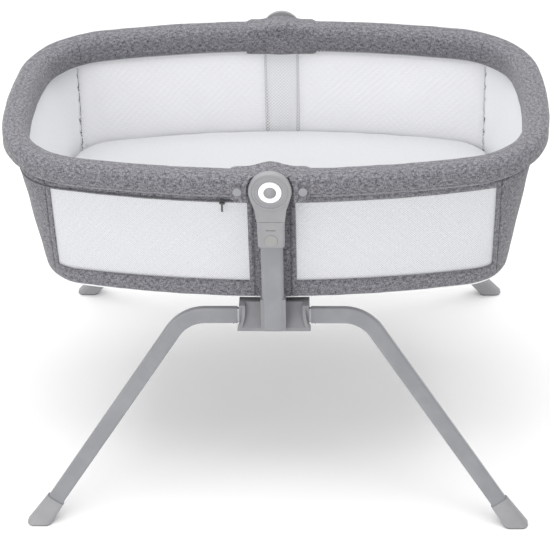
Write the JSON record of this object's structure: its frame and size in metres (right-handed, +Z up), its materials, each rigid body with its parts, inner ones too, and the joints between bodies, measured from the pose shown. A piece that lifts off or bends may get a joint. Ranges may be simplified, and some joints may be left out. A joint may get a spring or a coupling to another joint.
{
  "type": "bassinet on stand",
  "caption": "Oval fabric and mesh bassinet with a padded rim, hung by side hubs on two uprights over a low stand with splayed bent tube legs.",
  "frame": {"origin": "on the floor, under the middle of the stand", "axes": "+Z up, +X along the bassinet towards its right end, -Y towards the front upright"},
  "size_m": [0.9038, 0.739, 0.647],
  "materials": {
    "melange_fabric": "woven melange",
    "white_mesh": "fine knitted mesh",
    "white_lining": "smooth cotton",
    "mattress_cover": "smooth cotton with a faint print",
    "grey_plastic": "fine satin moulding",
    "button_plastic": "fine satin moulding",
    "white_cap": "glossy",
    "painted_tube": "satin powder coat",
    "steel": "plain drawn",
    "chrome": "polished",
    "bush_plastic": "plain",
    "board": "hardboard",
    "foot_rubber": "plain",
    "stud_plastic": "satin",
    "zip_dark": "satin"
  },
  "bodies": {
    "stand": {"base_screws": "steel", "foot_pads": "foot_rubber", "front_base_housing": "grey_plastic", "front_cross_tube": "steel", "front_left_foot_cap": "grey_plastic", "front_left_leg": "painted_tube", "front_right_foot_cap": "grey_plastic", "front_right_leg": "painted_tube", "front_upright": "painted_tube", "rear_base_housing": "grey_plastic", "rear_cross_tube": "steel", "rear_left_foot_cap": "grey_plastic", "rear_left_leg": "painted_tube", "rear_right_foot_cap": "grey_plastic", "rear_right_leg": "painted_tube", "rear_upright": "painted_tube", "spreader_tubes": "painted_tube", "upright_bolts": "steel"},
    "hub_carrier": {"front_hub_cap": "white_cap", "front_hub_housing": "grey_plastic", "front_pivot_bolt": "steel", "front_socket_sleeve": "grey_plastic", "rear_hub_cap": "white_cap", "rear_hub_housing": "grey_plastic", "rear_pivot_bolt": "steel", "rear_socket_sleeve": "grey_plastic"},
    "basket": {"base_board": "board", "front_hub_flap": "melange_fabric", "front_left_window": "white_mesh", "front_right_window": "white_mesh", "front_rim_hub": "grey_plastic", "front_side_panel": "melange_fabric", "inner_lining": "white_lining", "left_end_panel": "melange_fabric", "left_rim_padding": "melange_fabric", "left_rim_tube": "steel", "mattress": "mattress_cover", "pivot_bushes": "bush_plastic", "press_studs": "stud_plastic", "rear_hub_flap": "melange_fabric", "rear_left_window": "white_mesh", "rear_right_window": "white_mesh", "rear_rim_hub": "grey_plastic", "rear_side_panel": "melange_fabric", "right_end_panel": "melange_fabric", "right_rim_padding": "melange_fabric", "right_rim_tube": "steel", "tub_floor": "melange_fabric", "zip_tape": "zip_dark"},
    "front_left_leg_pin": {"front_left_leg_pin": "chrome"},
    "front_lock_pin": {"front_lock_pin": "steel"},
    "front_release_button": {"front_release_button": "button_plastic"},
    "front_right_leg_pin": {"front_right_leg_pin": "chrome"},
    "rear_left_leg_pin": {"rear_left_leg_pin": "chrome"},
    "rear_lock_pin": {"rear_lock_pin": "steel"},
    "rear_release_button": {"rear_release_button": "button_plastic"},
    "rear_right_leg_pin": {"rear_right_leg_pin": "chrome"},
    "zip_pull": {"zip_pull": "zip_dark"},
    "zip_slider": {"zip_slider": "zip_dark"}
  },
  "joints": [
    {"name": "basket_lift", "type": "slide", "parent": "stand", "child": "hub_carrier", "axis": [0, 0, 1], "range_m": [0, 0.045]},
    {"name": "basket_rock", "type": "hinge", "parent": "hub_carrier", "child": "basket", "pos_m": [0, 0, 0.613], "axis": [0, 1, 0], "range_deg": [-5, 5]},
    {"name": "front_button_press", "type": "slide", "parent": "hub_carrier", "child": "front_release_button", "axis": [0, 1, 0], "range_m": [0, 0.003], "stiffness_N_per_m": 700, "springref_m": -0.003},
    {"name": "front_lock_release", "type": "slide", "parent": "stand", "child": "front_lock_pin", "axis": [0, 1, 0], "range_m": [0, 0.003]},
    {"name": "rear_button_press", "type": "slide", "parent": "hub_carrier", "child": "rear_release_button", "axis": [0, -1, 0], "range_m": [0, 0.003], "stiffness_N_per_m": 700, "springref_m": -0.003},
    {"name": "rear_lock_release", "type": "slide", "parent": "stand", "child": "rear_lock_pin", "axis": [0, -1, 0], "range_m": [0, 0.003]},
    {"name": "front_right_leg_pin_press", "type": "slide", "parent": "stand", "child": "front_right_leg_pin", "axis": [0, 0.2763, 0.9611], "range_m": [0, 0.0055], "stiffness_N_per_m": 600, "springref_m": -0.003},
    {"name": "front_left_leg_pin_press", "type": "slide", "parent": "stand", "child": "front_left_leg_pin", "axis": [0, 0.2763, 0.9611], "range_m": [0, 0.0055], "stiffness_N_per_m": 600, "springref_m": -0.003},
    {"name": "rear_right_leg_pin_press", "type": "slide", "parent": "stand", "child": "rear_right_leg_pin", "axis": [0, -0.2763, 0.9611], "range_m": [0, 0.0055], "stiffness_N_per_m": 600, "springref_m": -0.003},
    {"name": "rear_left_leg_pin_press", "type": "slide", "parent": "stand", "child": "rear_left_leg_pin", "axis": [0, -0.2763, 0.9611], "range_m": [0, 0.0055], "stiffness_N_per_m": 600, "springref_m": -0.003},
    {"name": "zip_run", "type": "hinge", "parent": "basket", "child": "zip_slider", "pos_m": [0, 1.138, 0.577], "axis": [0, 0, 1], "range_deg": [-9, 0.4]},
    {"name": "zip_pull_swing", "type": "hinge", "parent": "zip_slider", "child": "zip_pull", "pos_m": [-0.07734, -0.26597, 0.577], "axis": [0.9985, -0.055, 0], "range_deg": [-95, 0]}
  ],
  "couplings": [
    {"joint": "front_lock_release", "follows": "front_button_press", "ratio": 1},
    {"joint": "rear_lock_release", "follows": "rear_button_press", "ratio": 1}
  ]
}
